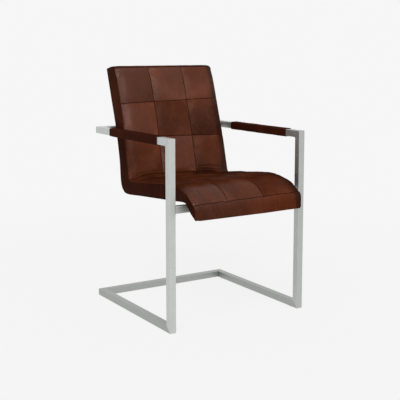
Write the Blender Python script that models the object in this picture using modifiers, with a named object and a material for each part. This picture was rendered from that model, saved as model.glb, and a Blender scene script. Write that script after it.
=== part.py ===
# Cantilever armchair: a sled frame of square steel tube that carries one upholstered shell.
# Metres, +Z up, the sitter faces -Y. The origin is on the floor under the middle of the chair.
import bpy
import bmesh
from math import atan2, cos, degrees, radians, sin, sqrt, tan
from mathutils import Matrix, Vector

# Steel frame. Heights are taken from the underside of the floor runners.
frame_width = 0.570
frame_depth = 0.560
arm_height = 0.665
seat_bar_height = 0.437
tube = 0.025
tube_wall = 0.002
tube_corner = 0.0015
fit_gap = 0.0003
bead_radius = 0.0016

# Floor glides
glide_height = 0.0025
glide_radius = 0.009
glide_edge = 0.0008
glide_stem_radius = 0.0037
glide_stem_length = 0.008
glide_inset = 0.045

# Line of the shell's underside and back
side_gap = 0.040
bar_clearance = 0.0018
lip_reach = 0.055
lip_drop = 0.0405
lip_knee = 0.031
lip_knee_drop = 0.0185
seat_rise = 0.007
seat_rake = radians(4.2)
heel_inset = 0.058
heel_radius = 0.050
lumbar_hollow = 0.006
back_standoff = 0.0133
back_recline = radians(18.2)
back_above_arm = 0.238

# Thickness of the shell
nose_thickness = 0.047
seat_thickness = 0.067
heel_thickness = 0.088
lumbar_thickness = 0.076
back_thickness = 0.0785
edge_thickness = 0.009

# Layers of the shell, counted from the rear leather
rear_leather = 0.002
wadding_thickness = 0.006
core_thickness = 0.012
side_leather = 0.002
cover_leather = 0.0025
cover_padding = 0.006
edge_padding = 0.004
channel_share = 0.5
channel_reach = 0.010
side_roll = 0.032
columns = 3
back_rows = 3
seat_rows = 3

# Fixings
bolt_radius = 0.003
bolt_head_radius = 0.0055
bolt_head_height = 0.0033
socket_radius = 0.0021
socket_depth = 0.0018
washer_radius = 0.0075
washer_thickness = 0.0016
hole_clearance = 0.0003
cover_hole_clearance = 0.0010
tee_barrel_radius = 0.004
tee_flange_radius = 0.0095
tee_flange_thickness = 0.0015
insert_radius = 0.005
insert_length = 0.009
seat_bolt_sink = 0.0185
back_bolt_spread = 0.130
seat_bracket_spread = 0.120
bracket_width = 0.040
bracket_thickness = 0.004
bracket_length = 0.092
bracket_bend = 0.006
bracket_drop = 0.021
bracket_bolt_start = 0.030
bracket_bolt_pitch = 0.036
spacer_radius = 0.010

# Leather arm pads
pad_front_gap = 0.080
pad_rear_gap = 0.120
pad_thickness = 0.0035
pad_leather = 0.0012
pad_corner = 0.006

round_sides = 16

# Places worked out from the sizes above
half_width = frame_width / 2
half_depth = frame_depth / 2
bar_front = -half_depth
bar_rear = bar_front + tube
crossbar_front = half_depth - tube
arm_middle = arm_height - tube / 2
shell_half = half_width - tube - side_gap
inner_half = shell_half - side_leather - fit_gap
wadding_start = rear_leather + fit_gap
core_start = wadding_start + wadding_thickness + fit_gap
core_end = core_start + core_thickness


def clear_scene():
    for thing in list(bpy.data.objects):
        bpy.data.objects.remove(thing, do_unlink=True)


def new_collection(name):
    made = bpy.data.collections.new(name)
    bpy.context.scene.collection.children.link(made)
    return made


def new_material(name, colour, roughness, metallic):
    made = bpy.data.materials.new(name)
    made.use_nodes = True
    made.diffuse_color = (*colour, 1.0)
    shader = made.node_tree.nodes["Principled BSDF"]
    shader.inputs["Base Color"].default_value = (*colour, 1.0)
    shader.inputs["Roughness"].default_value = roughness
    shader.inputs["Metallic"].default_value = metallic
    return made


clear_scene()
chair_parts = new_collection("cantilever_armchair")
cutters = new_collection("cutters")
chair = bpy.data.objects.new("chair", None)
chair_parts.objects.link(chair)

brushed_steel = new_material("brushed steel", (0.60, 0.60, 0.59), 0.35, 1.0)
zinc_steel = new_material("zinc plated steel", (0.55, 0.56, 0.58), 0.40, 1.0)
brown_leather = new_material("brown leather", (0.095, 0.028, 0.016), 0.45, 0.0)
dark_leather = new_material("dark brown leather", (0.030, 0.010, 0.007), 0.50, 0.0)
moulded_plywood = new_material("moulded plywood", (0.55, 0.36, 0.19), 0.65, 0.0)
seat_foam_grey = new_material("polyurethane foam", (0.62, 0.60, 0.52), 0.95, 0.0)
white_wadding = new_material("polyester wadding", (0.80, 0.79, 0.75), 0.95, 0.0)
black_nylon = new_material("black nylon", (0.02, 0.02, 0.02), 0.55, 0.0)


def finish_mesh(name, bm, material, hidden=False):
    """Turns a bmesh into one object of the chair, or into a cutter that the build leaves out."""
    bmesh.ops.recalc_face_normals(bm, faces=bm.faces)
    mesh = bpy.data.meshes.new(name)
    bm.to_mesh(mesh)
    bm.free()
    thing = bpy.data.objects.new(name, mesh)
    (cutters if hidden else chair_parts).objects.link(thing)
    thing.parent = chair
    if hidden:
        thing.hide_render = True
        thing.display_type = "WIRE"
    else:
        mesh.materials.append(material)
    return thing


def smooth_round(thing, angle=35.0):
    thing.data.shade_smooth()
    thing.data.set_sharp_from_angle(angle=radians(angle))
    return thing


def cut(thing, cutter):
    boolean = thing.modifiers.new("cut " + cutter.name, "BOOLEAN")
    boolean.operation = "DIFFERENCE"
    boolean.solver = "EXACT"
    boolean.object = cutter


def block_mesh(low, high):
    low, high = Vector(low), Vector(high)
    bm = bmesh.new()
    size = high - low
    middle = (low + high) / 2
    bmesh.ops.create_cube(bm, size=1.0, matrix=Matrix.Translation(middle) @ Matrix.Diagonal((*size, 1.0)))
    return bm


def round_edges(bm, edges, radius, segments):
    bmesh.ops.bevel(bm, geom=edges, offset=radius, segments=segments, profile=0.5, affect="EDGES")


def edges_along(bm, axis):
    return [e for e in bm.edges if abs((e.verts[1].co - e.verts[0].co).normalized()[axis]) > 0.99]


def slice_off(bm, point, away):
    """Removes what lies beyond the plane through point, on the side that away points to, and closes the cut."""
    geometry = bm.verts[:] + bm.edges[:] + bm.faces[:]
    done = bmesh.ops.bisect_plane(
        bm, geom=geometry, plane_co=point, plane_no=Vector(away).normalized(), clear_outer=True
    )
    rim = [part for part in done["geom_cut"] if isinstance(part, bmesh.types.BMEdge)]
    bmesh.ops.edgeloop_fill(bm, edges=rim)


def rod_mesh(start, end, radius, sides=round_sides):
    start, end = Vector(start), Vector(end)
    bm = bmesh.new()
    turn = (end - start).to_track_quat("Z", "Y").to_matrix().to_4x4()
    place = Matrix.Translation((start + end) / 2) @ turn
    bmesh.ops.create_cone(
        bm, cap_ends=True, segments=sides, radius1=radius, radius2=radius, depth=(end - start).length, matrix=place
    )
    return bm


def rod_cutter(name, start, end, radius):
    return finish_mesh(name, rod_mesh(start, end, radius), None, hidden=True)


def turned(name, profile, origin, axis, material, ring=False):
    """A profile of (radius, height) points turned about axis. It runs from the top down its outer side."""
    bm = bmesh.new()
    points = [bm.verts.new((radius, 0.0, height)) for radius, height in profile]
    for first, second in zip(points, points[1:]):
        bm.edges.new((first, second))
    if ring:
        bm.edges.new((points[-1], points[0]))
    thing = finish_mesh(name, bm, material)
    screw = thing.modifiers.new("turn", "SCREW")
    screw.steps = round_sides
    screw.render_steps = round_sides
    screw.use_merge_vertices = True
    screw.merge_threshold = 0.00001
    screw.use_smooth_shade = True
    thing.location = origin
    thing.rotation_euler = Vector(axis).to_track_quat("Z", "Y").to_euler()
    return thing


# Square tube frame


def square_tube(name, low, high, axis, mitres=()):
    """A hollow square tube between two corners. Each mitre is (corner point, direction that is cut away)."""
    bm = block_mesh(low, high)
    round_edges(bm, edges_along(bm, axis), tube_corner, 2)
    for corner, away in mitres:
        away = Vector(away).normalized()
        slice_off(bm, Vector(corner) - away * fit_gap / 2, away)
    thing = finish_mesh(name, bm, brushed_steel)
    wall = Vector((tube_wall, tube_wall, tube_wall))
    wall[axis] = -tube
    bore = finish_mesh(name + "_bore", block_mesh(Vector(low) + wall, Vector(high) - wall), None, hidden=True)
    cut(thing, bore)
    return thing


def side_frame(side, sign):
    """Front leg, floor runner and arm rail of one side, mitred at the corners."""
    outer = sign * half_width
    inner = sign * (half_width - tube)
    low_x, high_x = min(outer, inner), max(outer, inner)
    foot = (outer, bar_front, 0)
    elbow = (outer, bar_front, arm_height)
    leg = square_tube(
        side + "_front_leg",
        (low_x, bar_front, 0),
        (high_x, bar_rear, arm_height),
        2,
        [(foot, (0, 1, -1)), (elbow, (0, 1, 1))],
    )
    runner = square_tube(
        side + "_floor_runner",
        (low_x, bar_front, 0),
        (high_x, half_depth, tube),
        1,
        [(foot, (0, -1, 1)), ((outer, half_depth, 0), (-sign, 1, 0))],
    )
    rail = square_tube(
        side + "_arm_rail",
        (low_x, bar_front, arm_height - tube),
        (high_x, half_depth, arm_height),
        1,
        [(elbow, (0, -1, -1)), ((outer, half_depth, 0), (-sign, 1, 0))],
    )
    return leg, runner, rail


def rear_bar(name, bottom):
    corners = [((sign * half_width, half_depth, 0), (sign, -1, 0)) for sign in (-1, 1)]
    return square_tube(
        name, (-half_width, crossbar_front, bottom), (half_width, half_depth, bottom + tube), 0, corners
    )


def weld_bead(name, corner, inward, axis):
    """A round bead in the inner corner between two tubes. inward points away from both of them."""
    corner, inward = Vector(corner), Vector(inward)
    run = Vector((0.0, 0.0, 0.0))
    run[axis] = tube / 2 - tube_corner
    middle = corner + inward * (bead_radius + fit_gap)
    bead = finish_mesh(name, rod_mesh(middle - run, middle + run, bead_radius, 10), brushed_steel)
    return smooth_round(bead, 50.0)


def floor_glide(name, x, y):
    """A round nylon foot with a stem that plugs into the underside of the runner."""
    head_top = -fit_gap
    profile = [
        (0.0, glide_stem_length),
        (glide_stem_radius, glide_stem_length),
        (glide_stem_radius, head_top),
        (glide_radius, head_top),
        (glide_radius, -glide_height + glide_edge),
        (glide_radius - glide_edge, -glide_height),
        (0.0, -glide_height),
    ]
    return turned(name, profile, (x, y, 0), (0, 0, 1), black_nylon)


runners = {}
arm_rails = {}
for side, sign in (("left", -1), ("right", 1)):
    leg, runners[sign], arm_rails[sign] = side_frame(side, sign)
rear_floor_crossbar = rear_bar("rear_floor_crossbar", 0)
rear_back_crossbar = rear_bar("rear_back_crossbar", arm_height - tube)
bar_half = half_width - tube - fit_gap
seat_crossbar = square_tube(
    "seat_crossbar", (-bar_half, bar_front, seat_bar_height - tube), (bar_half, bar_rear, seat_bar_height), 0
)

tube_centre = half_width - tube / 2
inner_face = half_width - tube
for side, sign in (("left", -1), ("right", 1)):
    x = sign * tube_centre
    rear_x = sign * inner_face
    weld_bead(side + "_foot_weld", (x, bar_rear, tube), (0, 1, 1), 0)
    weld_bead(side + "_elbow_weld", (x, bar_rear, arm_height - tube), (0, 1, -1), 0)
    weld_bead(side + "_floor_corner_weld", (rear_x, crossbar_front, tube / 2), (-sign, -1, 0), 2)
    weld_bead(side + "_back_corner_weld", (rear_x, crossbar_front, arm_middle), (-sign, -1, 0), 2)
    weld_bead(side + "_seat_bar_weld", (rear_x, bar_front + tube / 2, seat_bar_height), (-sign, 0, 1), 1)
    for end, way in (("front", -1), ("rear", 1)):
        name = f"{side}_{end}_glide"
        x, y = sign * tube_centre, way * (half_depth - glide_inset)
        floor_glide(name, x, y)
        hole_radius = glide_stem_radius + hole_clearance
        cut(runners[sign], rod_cutter(name + "_hole", (x, y, -tube_wall), (x, y, 2 * tube_wall), hole_radius))


# Side profile of the shell: ribs that run from the rear line to the front line


def along(start, end, share):
    return start[0] + (end[0] - start[0]) * share, start[1] + (end[1] - start[1]) * share


lip_end = (bar_front - lip_reach, seat_bar_height - lip_drop)
lip_bend = (bar_front - lip_knee, seat_bar_height - lip_knee_drop)
bar_edge = (bar_front - tube_corner, seat_bar_height + bar_clearance)
seat_front = (bar_rear, seat_bar_height + seat_rise)
heel_y = crossbar_front - heel_inset
heel_corner = (heel_y, seat_front[1] - (heel_y - seat_front[0]) * tan(seat_rake))
back_rest = (crossbar_front - back_standoff, arm_middle)
lower_recline = atan2(back_rest[0] - heel_corner[0], back_rest[1] - heel_corner[1])
heel_turn = radians(90) + seat_rake - lower_recline
heel_reach = heel_radius * tan(heel_turn / 2)
seat_end = (heel_corner[0] - heel_reach * cos(seat_rake), heel_corner[1] + heel_reach * sin(seat_rake))
heel_centre = (seat_end[0] + heel_radius * sin(seat_rake), seat_end[1] + heel_radius * cos(seat_rake))


def heel_point(share):
    angle = -seat_rake + heel_turn * share
    return heel_centre[0] + heel_radius * sin(angle), heel_centre[1] - heel_radius * cos(angle)


def lip_point(share):
    """The underside curves down in front of the seat crossbar, from its edge to the end of the lip."""
    return along(along(lip_end, lip_bend, share), along(lip_bend, bar_edge, share), share)


def lumbar_point(share):
    y, z = along(heel_point(1.0), back_rest, share)
    return y - lumbar_hollow, z


def back_point(share):
    length = back_above_arm * share
    return back_rest[0] + length * sin(back_recline), back_rest[1] + length * cos(back_recline)


def rib(rear, lean, thickness, padding):
    """A line across the shell from a point of its rear. Its lean is in degrees, from straight up towards the front."""
    turn = radians(lean)
    front = (rear[0] - thickness * sin(turn), rear[1] + thickness * cos(turn))
    return {"rear": rear, "front": front, "padding": padding}


upright = 90.0 - degrees(back_recline)
ribs = [
    rib(lip_point(0.00), 110, edge_thickness, edge_padding),
    rib(lip_point(0.14), 85, nose_thickness * 0.40, edge_padding),
    rib(lip_point(0.28), 64, nose_thickness * 0.62, edge_padding),
    rib(lip_point(0.40), 48, nose_thickness * 0.84, cover_padding),
    rib(lip_point(0.54), 39, nose_thickness * 1.02, cover_padding),
    rib(lip_point(0.76), 24, nose_thickness * 1.02, cover_padding),
    rib(bar_edge, 8, nose_thickness * 0.98, cover_padding),
    rib(seat_front, -6, nose_thickness * 1.08, cover_padding),
    rib(along(seat_front, seat_end, 0.16), -8.5, seat_thickness * 0.985, cover_padding),
    rib(along(seat_front, seat_end, 0.46), 0, seat_thickness, cover_padding),
    rib(along(seat_front, seat_end, 0.75), 18, seat_thickness * 1.02, cover_padding),
    rib(seat_end, 42, heel_thickness * 0.965, cover_padding),
    rib(heel_point(0.5), 53, heel_thickness * 0.99, cover_padding),
    rib(heel_point(1.0), 65, heel_thickness, cover_padding),
    rib(lumbar_point(0.45), 81, lumbar_thickness, cover_padding),
    rib(back_rest, upright + 3, lumbar_thickness, cover_padding),
    rib(back_point(0.475), upright + 2, back_thickness, cover_padding),
    rib(back_point(0.74), upright, back_thickness * 0.99, cover_padding),
    rib(back_point(0.853), upright - 3, back_thickness * 0.945, cover_padding),
    rib(back_point(0.906), upright - 7, back_thickness * 0.925, cover_padding),
    rib(back_point(0.95), upright - 16, back_thickness * 0.62, edge_padding),
    rib(back_point(1.00), upright - 21, edge_thickness, edge_padding),
]
first_rib, nose_inner, core_first, front_seam, crease = 0, 1, 5, 4, 12
top_seam, core_last, top_inner, last_rib = 19, 18, 20.7, 21


def smooth(key, place):
    """Value of a smooth curve through the ribs at a place that counts ribs."""
    index = min(int(place), last_rib - 1)
    share = place - index
    middle = (ribs[index][key], ribs[index + 1][key])
    if key == "padding":
        return middle[0] + (middle[1] - middle[0]) * share
    first, second = Vector(middle[0]), Vector(middle[1])
    before = Vector(ribs[index - 1][key]) if index > 0 else 2 * first - second
    after = Vector(ribs[index + 2][key]) if index + 2 <= last_rib else 2 * second - first
    return 0.5 * (
        2 * first
        + (second - before) * share
        + (2 * before - 5 * first + 4 * second - after) * share**2
        + (3 * first - before - 3 * second + after) * share**3
    )


def layer_point(x, place, depth):
    """A point of the shell at a depth from its rear line, measured along the rib at that place."""
    rear, front = smooth("rear", place), smooth("front", place)
    point = rear + (front - rear).normalized() * depth
    return Vector((x, point[0], point[1]))


def thickness_at(place):
    return (smooth("front", place) - smooth("rear", place)).length


def foam_top(place):
    return thickness_at(place) - cover_leather - smooth("padding", place) - fit_gap


# Stations along the front line, close together at the seams

fine = 24
fine_places = [step / fine for step in range(last_rib * fine + 1)]
lengths = [0.0]
for earlier, later in zip(fine_places, fine_places[1:]):
    lengths.append(lengths[-1] + (smooth("front", later) - smooth("front", earlier)).length)


def place_at(length):
    for index in range(1, len(lengths)):
        if lengths[index] >= length:
            share = (length - lengths[index - 1]) / (lengths[index] - lengths[index - 1])
            return fine_places[index - 1] + share / fine
    return float(last_rib)


def length_at(place):
    return lengths[round(place * fine)]


def patch_marks(start, end, count):
    """Marks for a run of equal patches: at each seam, on both its shoulders and across the crown between."""
    size = (end - start) / count
    marks = []
    for index in range(count):
        low = start + size * index
        marks += [low, low + channel_reach, low + 3 * channel_reach, low + size / 2]
        marks += [low + size - 3 * channel_reach, low + size - channel_reach]
    return marks + [end]


seat_marks = patch_marks(length_at(front_seam), length_at(crease), seat_rows)
back_marks = patch_marks(length_at(crease), length_at(top_seam), back_rows)
row_seams = seat_marks[::6] + back_marks[::6]
nose_marks = [length_at(0) + (seat_marks[0] - length_at(0)) * share for share in (0.0, 0.12, 0.3, 0.52, 0.76)]
top_marks = [back_marks[-1] + (lengths[-1] - back_marks[-1]) * share for share in (0.3, 0.6, 0.86, 1.0)]
seat_places = [place_at(mark) for mark in nose_marks + seat_marks]
back_places = [place_at(mark) for mark in back_marks + top_marks]
across_marks = patch_marks(-shell_half, shell_half, columns)
column_seams = across_marks[6:-1:6]

crease_gap = place_at(length_at(crease) + fit_gap / 2) - crease
seat_places[-1] -= crease_gap
back_places[0] += crease_gap
shell_places = seat_places[:-1] + [float(crease)] + back_places[1:]


def slab(name, across, places, point_at, material):
    """A closed layer over a grid. point_at gives each grid point's position on the rear (0) or front (1) face."""
    bm = bmesh.new()
    bmesh.ops.create_grid(bm, x_segments=len(across) - 1, y_segments=len(places) - 1, size=1.0)
    extruded = bmesh.ops.extrude_face_region(bm, geom=bm.faces[:], use_keep_orig=True)
    raised = {part for part in extruded["geom"] if isinstance(part, bmesh.types.BMVert)}
    for vertex in bm.verts:
        column = round((vertex.co.x + 1) / 2 * (len(across) - 1))
        row = round((vertex.co.y + 1) / 2 * (len(places) - 1))
        vertex.co = point_at(across[column], places[row], vertex in raised)
    return finish_mesh(name, bm, material)


def between(low, high, places):
    return [place for place in places if low <= place <= high]


# Layers of the shell, from the rear to the front


def rear_cover_point(x, place, front):
    return layer_point(x, place, rear_leather if front else 0.0)


def wadding_point(x, place, front):
    return layer_point(x, place, wadding_start + (wadding_thickness if front else 0.0))


def core_point(x, place, front):
    return layer_point(x, place, core_end if front else core_start)


def foam_point(x, place, front):
    if front:
        return layer_point(x, place, foam_top(place))
    inside = core_places[0] <= place <= core_places[-1]
    return layer_point(x, place, (core_end if inside else core_start) + fit_gap)


def near_seam(distance):
    """How deep the sewn channel is at a distance from its seam, from 0 on the crown to 1 on the seam."""
    return max(0.0, 1.0 - abs(distance) / (3 * channel_reach)) ** 2


def side_shape(x):
    """How full the padding is across the shell: 0 at the side seam, 1 past the rolled edge."""
    inward = min(shell_half - abs(x), side_roll)
    return sqrt(max(0.0, 1.0 - (1.0 - inward / side_roll) ** 2))


def cover_point(x, place, front):
    base = foam_top(place) + fit_gap
    if not front:
        return layer_point(x, place, base)
    length = lengths[0] + length_of(place)
    row = max(near_seam(length - seam) for seam in row_seams)
    sewn = row_seams[0] - channel_reach < length < row_seams[-1] + channel_reach
    column = max(near_seam(x - seam) for seam in column_seams) if sewn else 0.0
    fullness = side_shape(x) * (1.0 - channel_share * max(row, column))
    return layer_point(x, place, base + cover_leather + smooth("padding", place) * fullness)


def length_of(place):
    index = min(int(place * fine), len(lengths) - 2)
    share = place * fine - index
    return lengths[index] + (lengths[index + 1] - lengths[index]) * share


full_width = [-shell_half, shell_half]
inner_width = [-inner_half, inner_half]
wadding_places = between(nose_inner, top_inner, shell_places)
core_places = between(core_first, core_last, shell_places)
seat_foam_places = between(nose_inner, crease, seat_places)
back_foam_places = between(crease, top_inner, back_places)

rear_cover = slab("rear_leather_cover", full_width, shell_places, rear_cover_point, brown_leather)
rear_wadding = slab("rear_wadding", inner_width, wadding_places, wadding_point, white_wadding)
shell_core = slab("shell_core", inner_width, core_places, core_point, moulded_plywood)
slab("seat_foam", inner_width, seat_foam_places, foam_point, seat_foam_grey)
slab("back_foam", inner_width, back_foam_places, foam_point, seat_foam_grey)
smooth_round(slab("seat_leather_cover", across_marks, seat_places, cover_point, brown_leather))
smooth_round(slab("back_leather_cover", across_marks, back_places, cover_point, brown_leather))

panel_places = shell_places[1:-1]
for side, sign in (("left", -1), ("right", 1)):

    def panel_point(x, place, front):
        return layer_point(x, place, foam_top(place) if front else wadding_start)

    inner, outer = sign * (inner_half + fit_gap), sign * shell_half
    slab(side + "_side_panel", sorted((inner, outer)), panel_places, panel_point, brown_leather)


# Fixings under the seat: a bent bracket on each side, two bolts in each, and tee nuts in the core


underside = [smooth("rear", place) for place in between(first_rib, crease, shell_places)]


def underside_at(y):
    """Height of the shell's underside at y."""
    for near, far in zip(underside, underside[1:]):
        if near[0] <= y <= far[0]:
            return near[1] + (far[1] - near[1]) * (y - near[0]) / (far[0] - near[0])


bracket_front = bar_rear + fit_gap
bracket_rear = bracket_front + bracket_length
checks = [point[0] for point in underside if bracket_front < point[0] < bracket_rear]
checks += [bracket_front, bracket_rear]
front_height, rear_height = underside_at(bracket_front), underside_at(bracket_rear)
bracket_slope = (rear_height - front_height) / bracket_length


def plate_line(y):
    return front_height + (y - bracket_front) * bracket_slope


plate_drop = max(plate_line(y) - underside_at(y) for y in checks) + fit_gap


def plate_top(y):
    return plate_line(y) - plate_drop


plate_angle = atan2(bracket_slope, 1.0)
plate_normal = Vector((0.0, -sin(plate_angle), cos(plate_angle)))


def seat_bracket(name, x):
    """A flat bar bent to an angle: one leg on the rear of the seat crossbar, one under the shell."""
    corner = Vector((bracket_front, plate_top(bracket_front)))
    bend_steps = 4
    outline = [corner - Vector((0.0, bracket_drop))]
    for step in range(bend_steps + 1):
        share = step / bend_steps
        down = corner - Vector((0.0, bracket_bend))
        back = corner + Vector((cos(plate_angle), sin(plate_angle))) * bracket_bend
        outline.append(down * (1 - share) ** 2 + corner * 2 * share * (1 - share) + back * share**2)
    outline.append(Vector((bracket_rear, plate_top(bracket_rear))))
    bm = bmesh.new()
    rows = []
    for edge in (x - bracket_width / 2, x + bracket_width / 2):
        rows.append([bm.verts.new((edge, y, z)) for y, z in outline])
    for near, far in zip(zip(rows[0], rows[0][1:]), zip(rows[1], rows[1][1:])):
        bm.faces.new((near[0], far[0], far[1], near[1]))
    bracket = finish_mesh(name, bm, brushed_steel)
    first_normal = bracket.data.polygons[0].normal
    flip = first_normal.z < 0 or first_normal.y > 0.5
    wall = bracket.modifiers.new("plate", "SOLIDIFY")
    wall.thickness = bracket_thickness
    wall.offset = 1.0 if flip else -1.0
    wall.use_even_offset = True
    return bracket


def bolt(name, seat, axis, length):
    """A button head bolt whose head rests at seat and whose shank points along axis."""
    profile = [
        (0.0, length),
        (bolt_radius, length),
        (bolt_radius, 0.0),
        (bolt_head_radius, 0.0),
        (bolt_head_radius * 0.9, -bolt_head_height * 0.6),
        (bolt_head_radius * 0.6, -bolt_head_height),
        (0.0, -bolt_head_height),
    ]
    made = turned(name, profile, seat, axis, zinc_steel)
    axis = Vector(axis).normalized()
    mouth = Vector(seat) - axis * (bolt_head_height + socket_depth)
    floor = Vector(seat) - axis * (bolt_head_height - socket_depth)
    socket = finish_mesh(name + "_socket", rod_mesh(mouth, floor, socket_radius, 6), None, hidden=True)
    cut(made, socket)
    return made


def ring_profile(inner, outer, height):
    return [(inner, height), (outer, height), (outer, 0.0), (inner, 0.0)]


def washer(name, seat, axis):
    """A flat washer whose far face touches seat, on the head's side of it."""
    base = Vector(seat) - Vector(axis).normalized() * (washer_thickness + fit_gap)
    turned(name, ring_profile(bolt_radius + hole_clearance, washer_radius, washer_thickness), base, axis, zinc_steel, True)
    return base


def tee_nut(name, origin, axis):
    """A barrel in the core with a flange sunk in the core's front face. Heights count from the shell's rear."""
    flange_top = core_end - 0.0005
    flange_bottom = flange_top - tee_flange_thickness
    barrel_bottom = core_start + 0.0005
    profile = [
        (bolt_radius + hole_clearance, flange_top),
        (tee_flange_radius, flange_top),
        (tee_flange_radius, flange_bottom),
        (tee_barrel_radius, flange_bottom),
        (tee_barrel_radius, barrel_bottom),
        (bolt_radius + hole_clearance, barrel_bottom),
    ]
    turned(name, profile, origin, axis, zinc_steel, True)
    recess = rod_cutter(
        name + "_recess",
        origin + axis * (flange_bottom - fit_gap),
        origin + axis * (core_end + 0.005),
        tee_flange_radius + hole_clearance,
    )
    cut(shell_core, recess)
    bore = rod_cutter(name + "_bore", origin, origin + axis * core_end, tee_barrel_radius + hole_clearance)
    cut(shell_core, bore)


for side, sign in (("left", -1), ("right", 1)):
    x = sign * seat_bracket_spread
    bracket = seat_bracket(side + "_seat_bracket", x)
    for index, end in enumerate(("front", "rear")):
        name = f"{side}_{end}_seat"
        y = bracket_front + bracket_bolt_start + bracket_bolt_pitch * index
        top = Vector((x, y, plate_top(y)))
        entry = Vector((x, y, underside_at(y)))
        under_plate = top - plate_normal * bracket_thickness
        head = washer(name + "_washer", under_plate, plate_normal) - plate_normal * fit_gap
        bolt(name + "_bolt", head, plate_normal, (entry - head).length + seat_bolt_sink)
        tee_nut(name + "_tee_nut", entry, plate_normal)
        hole = bolt_radius + hole_clearance
        cut(bracket, rod_cutter(name + "_plate_hole", head, top + plate_normal * fit_gap, hole))
        through = rod_cutter(
            name + "_cover_hole", head, entry + plate_normal * core_start, bolt_radius + cover_hole_clearance
        )
        cut(rear_cover, through)
        cut(rear_wadding, through)


# Fixings behind the back: bolts through the rear crossbar and a wedge spacer into inserts in the core

rear_slope = atan2(
    smooth("rear", 15.02)[0] - smooth("rear", 14.98)[0], smooth("rear", 15.02)[1] - smooth("rear", 14.98)[1]
)
forward = Vector((0.0, -1.0, 0.0))
back_normal = Vector((0.0, -cos(rear_slope), sin(rear_slope)))


def back_spacer(name, x):
    """A round spacer between the crossbar and the leaning rear of the shell, its front end cut to that slope."""
    start = Vector((x, crossbar_front - fit_gap, arm_middle))
    length = back_standoff + spacer_radius * tan(rear_slope) + fit_gap
    bm = rod_mesh(start, start + forward * length, spacer_radius)
    rest = Vector((x, back_rest[0], back_rest[1]))
    slice_off(bm, rest - back_normal * 2 * fit_gap, back_normal)
    spacer = finish_mesh(name, bm, black_nylon)
    ends = (start - forward * tube_wall, start + forward * 2 * length)
    cut(spacer, rod_cutter(name + "_hole", *ends, bolt_radius + hole_clearance))


for side, sign in (("left", -1), ("right", 1)):
    x = sign * back_bolt_spread
    back_spacer(side + "_back_spacer", x)
    behind = Vector((x, half_depth, arm_middle))
    head = washer(side + "_back_washer", behind, forward) - forward * fit_gap
    core_middle = (core_start + core_thickness / 2) / cos(rear_slope)
    insert_middle = back_rest[0] - core_middle
    bolt(side + "_back_bolt", head, forward, head[1] - insert_middle + insert_length * 0.4)
    insert_rear = Vector((x, insert_middle + insert_length / 2, arm_middle))
    sleeve = ring_profile(bolt_radius + hole_clearance, insert_radius, insert_length)
    turned(side + "_back_insert", sleeve, insert_rear, forward, zinc_steel, True)
    bolt_hole = bolt_radius + hole_clearance
    into_bar = (behind - forward * tube_wall, behind + forward * (tube + tube_wall))
    cut(rear_back_crossbar, rod_cutter(side + "_crossbar_hole", *into_bar, bolt_hole))
    shell_rear = Vector((x, back_rest[0], arm_middle))
    into_core = (shell_rear, shell_rear + forward * 2 * core_end)
    cut(shell_core, rod_cutter(side + "_insert_hole", *into_core, insert_radius + hole_clearance))
    into_cover = (shell_rear - forward * core_start, shell_rear + forward * core_start * 1.2)
    through = rod_cutter(side + "_back_cover_hole", *into_cover, bolt_radius + cover_hole_clearance)
    cut(rear_cover, through)
    cut(rear_wadding, through)


# Leather pads wrapped round the arm rails


def pad_block(side_x, front, rear, outer, corner, name, material, hidden, ends):
    """A rounded square bar round the arm rail. outer is how far it stands beyond the tube on each side."""
    middle = side_x
    reach = tube / 2 + outer
    low = (middle - reach, front, arm_middle - reach)
    high = (middle + reach, rear, arm_middle + reach)
    bm = block_mesh(low, high)
    round_edges(bm, bm.edges[:] if ends else edges_along(bm, 1), corner, 3)
    return finish_mesh(name, bm, material, hidden)


pad_front = bar_front + pad_front_gap
pad_rear = half_depth - pad_rear_gap
for side, sign in (("left", -1), ("right", 1)):
    x = sign * tube_centre
    inside = pad_thickness - pad_leather
    end_wall = pad_leather + fit_gap
    sleeve = pad_block(x, pad_front, pad_rear, pad_thickness, pad_corner, side + "_arm_sleeve", dark_leather, False, True)
    smooth_round(sleeve)
    hollow = pad_block(
        x,
        pad_front + pad_leather,
        pad_rear - pad_leather,
        inside,
        pad_corner - pad_leather,
        side + "_sleeve_hollow",
        None,
        True,
        True,
    )
    cut(sleeve, hollow)
    mouth = pad_block(
        x, pad_front - tube, pad_rear + tube, fit_gap, tube_corner + fit_gap, side + "_sleeve_mouth", None, True, False
    )
    cut(sleeve, mouth)
    wrap = pad_block(
        x,
        pad_front + end_wall,
        pad_rear - end_wall,
        inside - fit_gap,
        pad_corner - end_wall,
        side + "_arm_foam",
        seat_foam_grey,
        False,
        True,
    )
    cut(wrap, mouth)


# The whole chair stands on its glides, over the middle of its outline

outline_y = []
for place in shell_places:
    outline_y += [smooth("front", place)[0], smooth("rear", place)[0]]
chair.location = (0.0, -(min(outline_y) + max(outline_y)) / 2, glide_height)
bpy.context.view_layer.update()
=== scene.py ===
# Armchair on a sled of square steel tube, with seat and back in one quilted leather shell
import bpy
import bmesh
import numpy as np
from math import atan2, cos, degrees, pi, radians, sin, tan
from mathutils import Matrix, Vector, noise


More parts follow.
